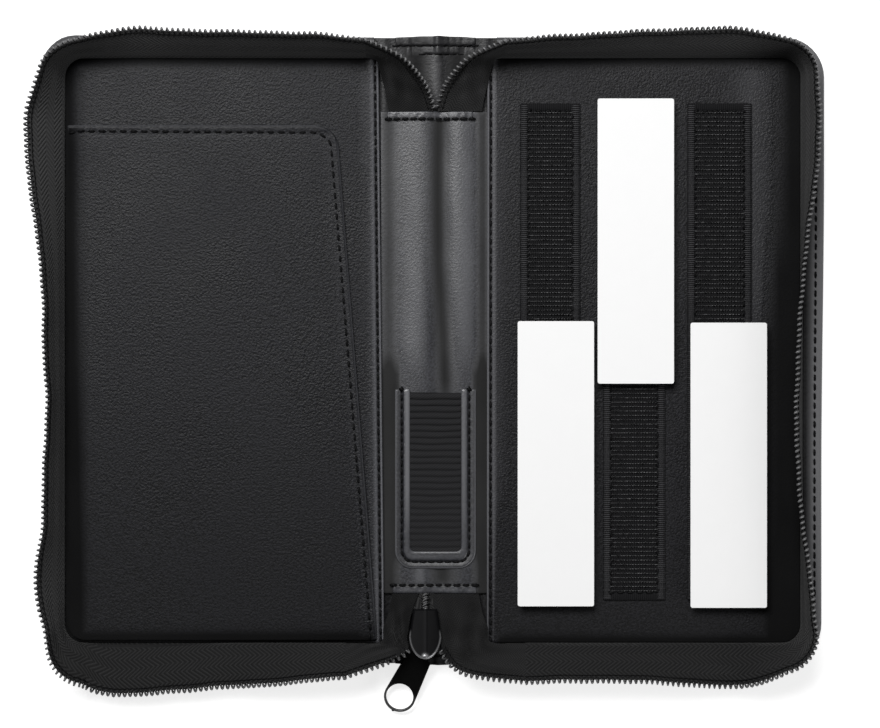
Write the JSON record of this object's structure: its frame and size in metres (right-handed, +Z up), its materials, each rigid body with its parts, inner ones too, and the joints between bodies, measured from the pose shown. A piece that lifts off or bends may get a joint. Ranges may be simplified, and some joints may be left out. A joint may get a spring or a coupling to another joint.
{
  "type": "zip-round calculator case",
  "caption": "Soft leather-look zip case lying open: two covers on a spine, hook strips with adhesive pads, document pocket, pen loop, coil zipper with slider and pull.",
  "frame": {"origin": "centre of the spine's outer face, on the table", "axes": "+Z up from the table, +X across to the back cover, +Y along the spine"},
  "size_m": [0.2635, 0.2266, 0.0185],
  "materials": {
    "cover_leather": "fine grained, soft sheen",
    "lining_leather": "fine grained, matt",
    "spine_leather": "smooth, soft sheen",
    "board": "grey board",
    "foam": "matt",
    "elastic": "ribbed weave",
    "hook_tape": "woven with nylon hooks",
    "loop_pad": "brushed loops",
    "release_liner": "smooth, coated",
    "zip_tape": "herringbone twill",
    "zip_coil": "nylon",
    "zip_metal": "gloss black enamel",
    "pull_metal": "dark polished"
  },
  "bodies": {
    "spine": {"spine_skin": "cover_leather", "spine_padding": "foam", "spine_strip": "spine_leather", "pen_pocket_frame": "spine_leather", "pen_pocket_elastic": "elastic", "closed_chain": "zip_coil", "front_cover_tape_ends": "zip_tape", "front_cover_coil_ends": "zip_coil", "back_cover_tape_ends": "zip_tape", "back_cover_coil_ends": "zip_coil"},
    "front_cover": {"front_cover_skin": "cover_leather", "front_cover_board": "board", "front_cover_foam": "foam", "front_cover_lining": "lining_leather", "document_pocket": "lining_leather", "front_cover_zip_tape": "zip_tape", "front_cover_zip_coil": "zip_coil"},
    "back_cover": {"back_cover_skin": "cover_leather", "back_cover_board": "board", "back_cover_foam": "foam", "back_cover_lining": "lining_leather", "back_cover_zip_tape": "zip_tape", "back_cover_zip_coil": "zip_coil", "hook_strip_1": "hook_tape", "hook_strip_2": "hook_tape", "hook_strip_3": "hook_tape"},
    "slider": {"slider_body": "zip_metal", "slider_bail": "zip_metal"},
    "pull": {"pull_tab": "pull_metal"},
    "pad_1": {"loop_pad_1": "loop_pad", "release_liner_1": "release_liner"},
    "pad_2": {"loop_pad_2": "loop_pad", "release_liner_2": "release_liner"},
    "pad_3": {"loop_pad_3": "loop_pad", "release_liner_3": "release_liner"}
  },
  "joints": [
    {"name": "front_fold", "type": "hinge", "parent": "spine", "child": "front_cover", "pos_m": [-0.017, 0, 0.0026], "axis": [0, 1, 0], "range_deg": [0, 90], "deforming": ["front_cover_tape_ends", "front_cover_coil_ends"]},
    {"name": "back_fold", "type": "hinge", "parent": "spine", "child": "back_cover", "pos_m": [0.017, 0, 0.0026], "axis": [0, -1, 0], "range_deg": [0, 90], "deforming": ["back_cover_tape_ends", "back_cover_coil_ends"]},
    {"name": "slider_travel", "type": "slide", "parent": "spine", "child": "slider", "axis": [0, 0.9367, -0.3502], "range_m": [0, 0.0026]},
    {"name": "pull_swing", "type": "hinge", "parent": "slider", "child": "pull", "pos_m": [-0.0034, -0.09801, 0.00622], "axis": [-0.9135, 0.4067, 0], "range_deg": [0, 28]},
    {"name": "pad_1_peel", "type": "slide", "parent": "back_cover", "child": "pad_1", "axis": [0, 0, 1], "range_m": [0, 0.02]},
    {"name": "pad_2_peel", "type": "slide", "parent": "back_cover", "child": "pad_2", "axis": [0, 0, 1], "range_m": [0, 0.02]},
    {"name": "pad_3_peel", "type": "slide", "parent": "back_cover", "child": "pad_3", "axis": [0, 0, 1], "range_m": [0, 0.02]}
  ]
}
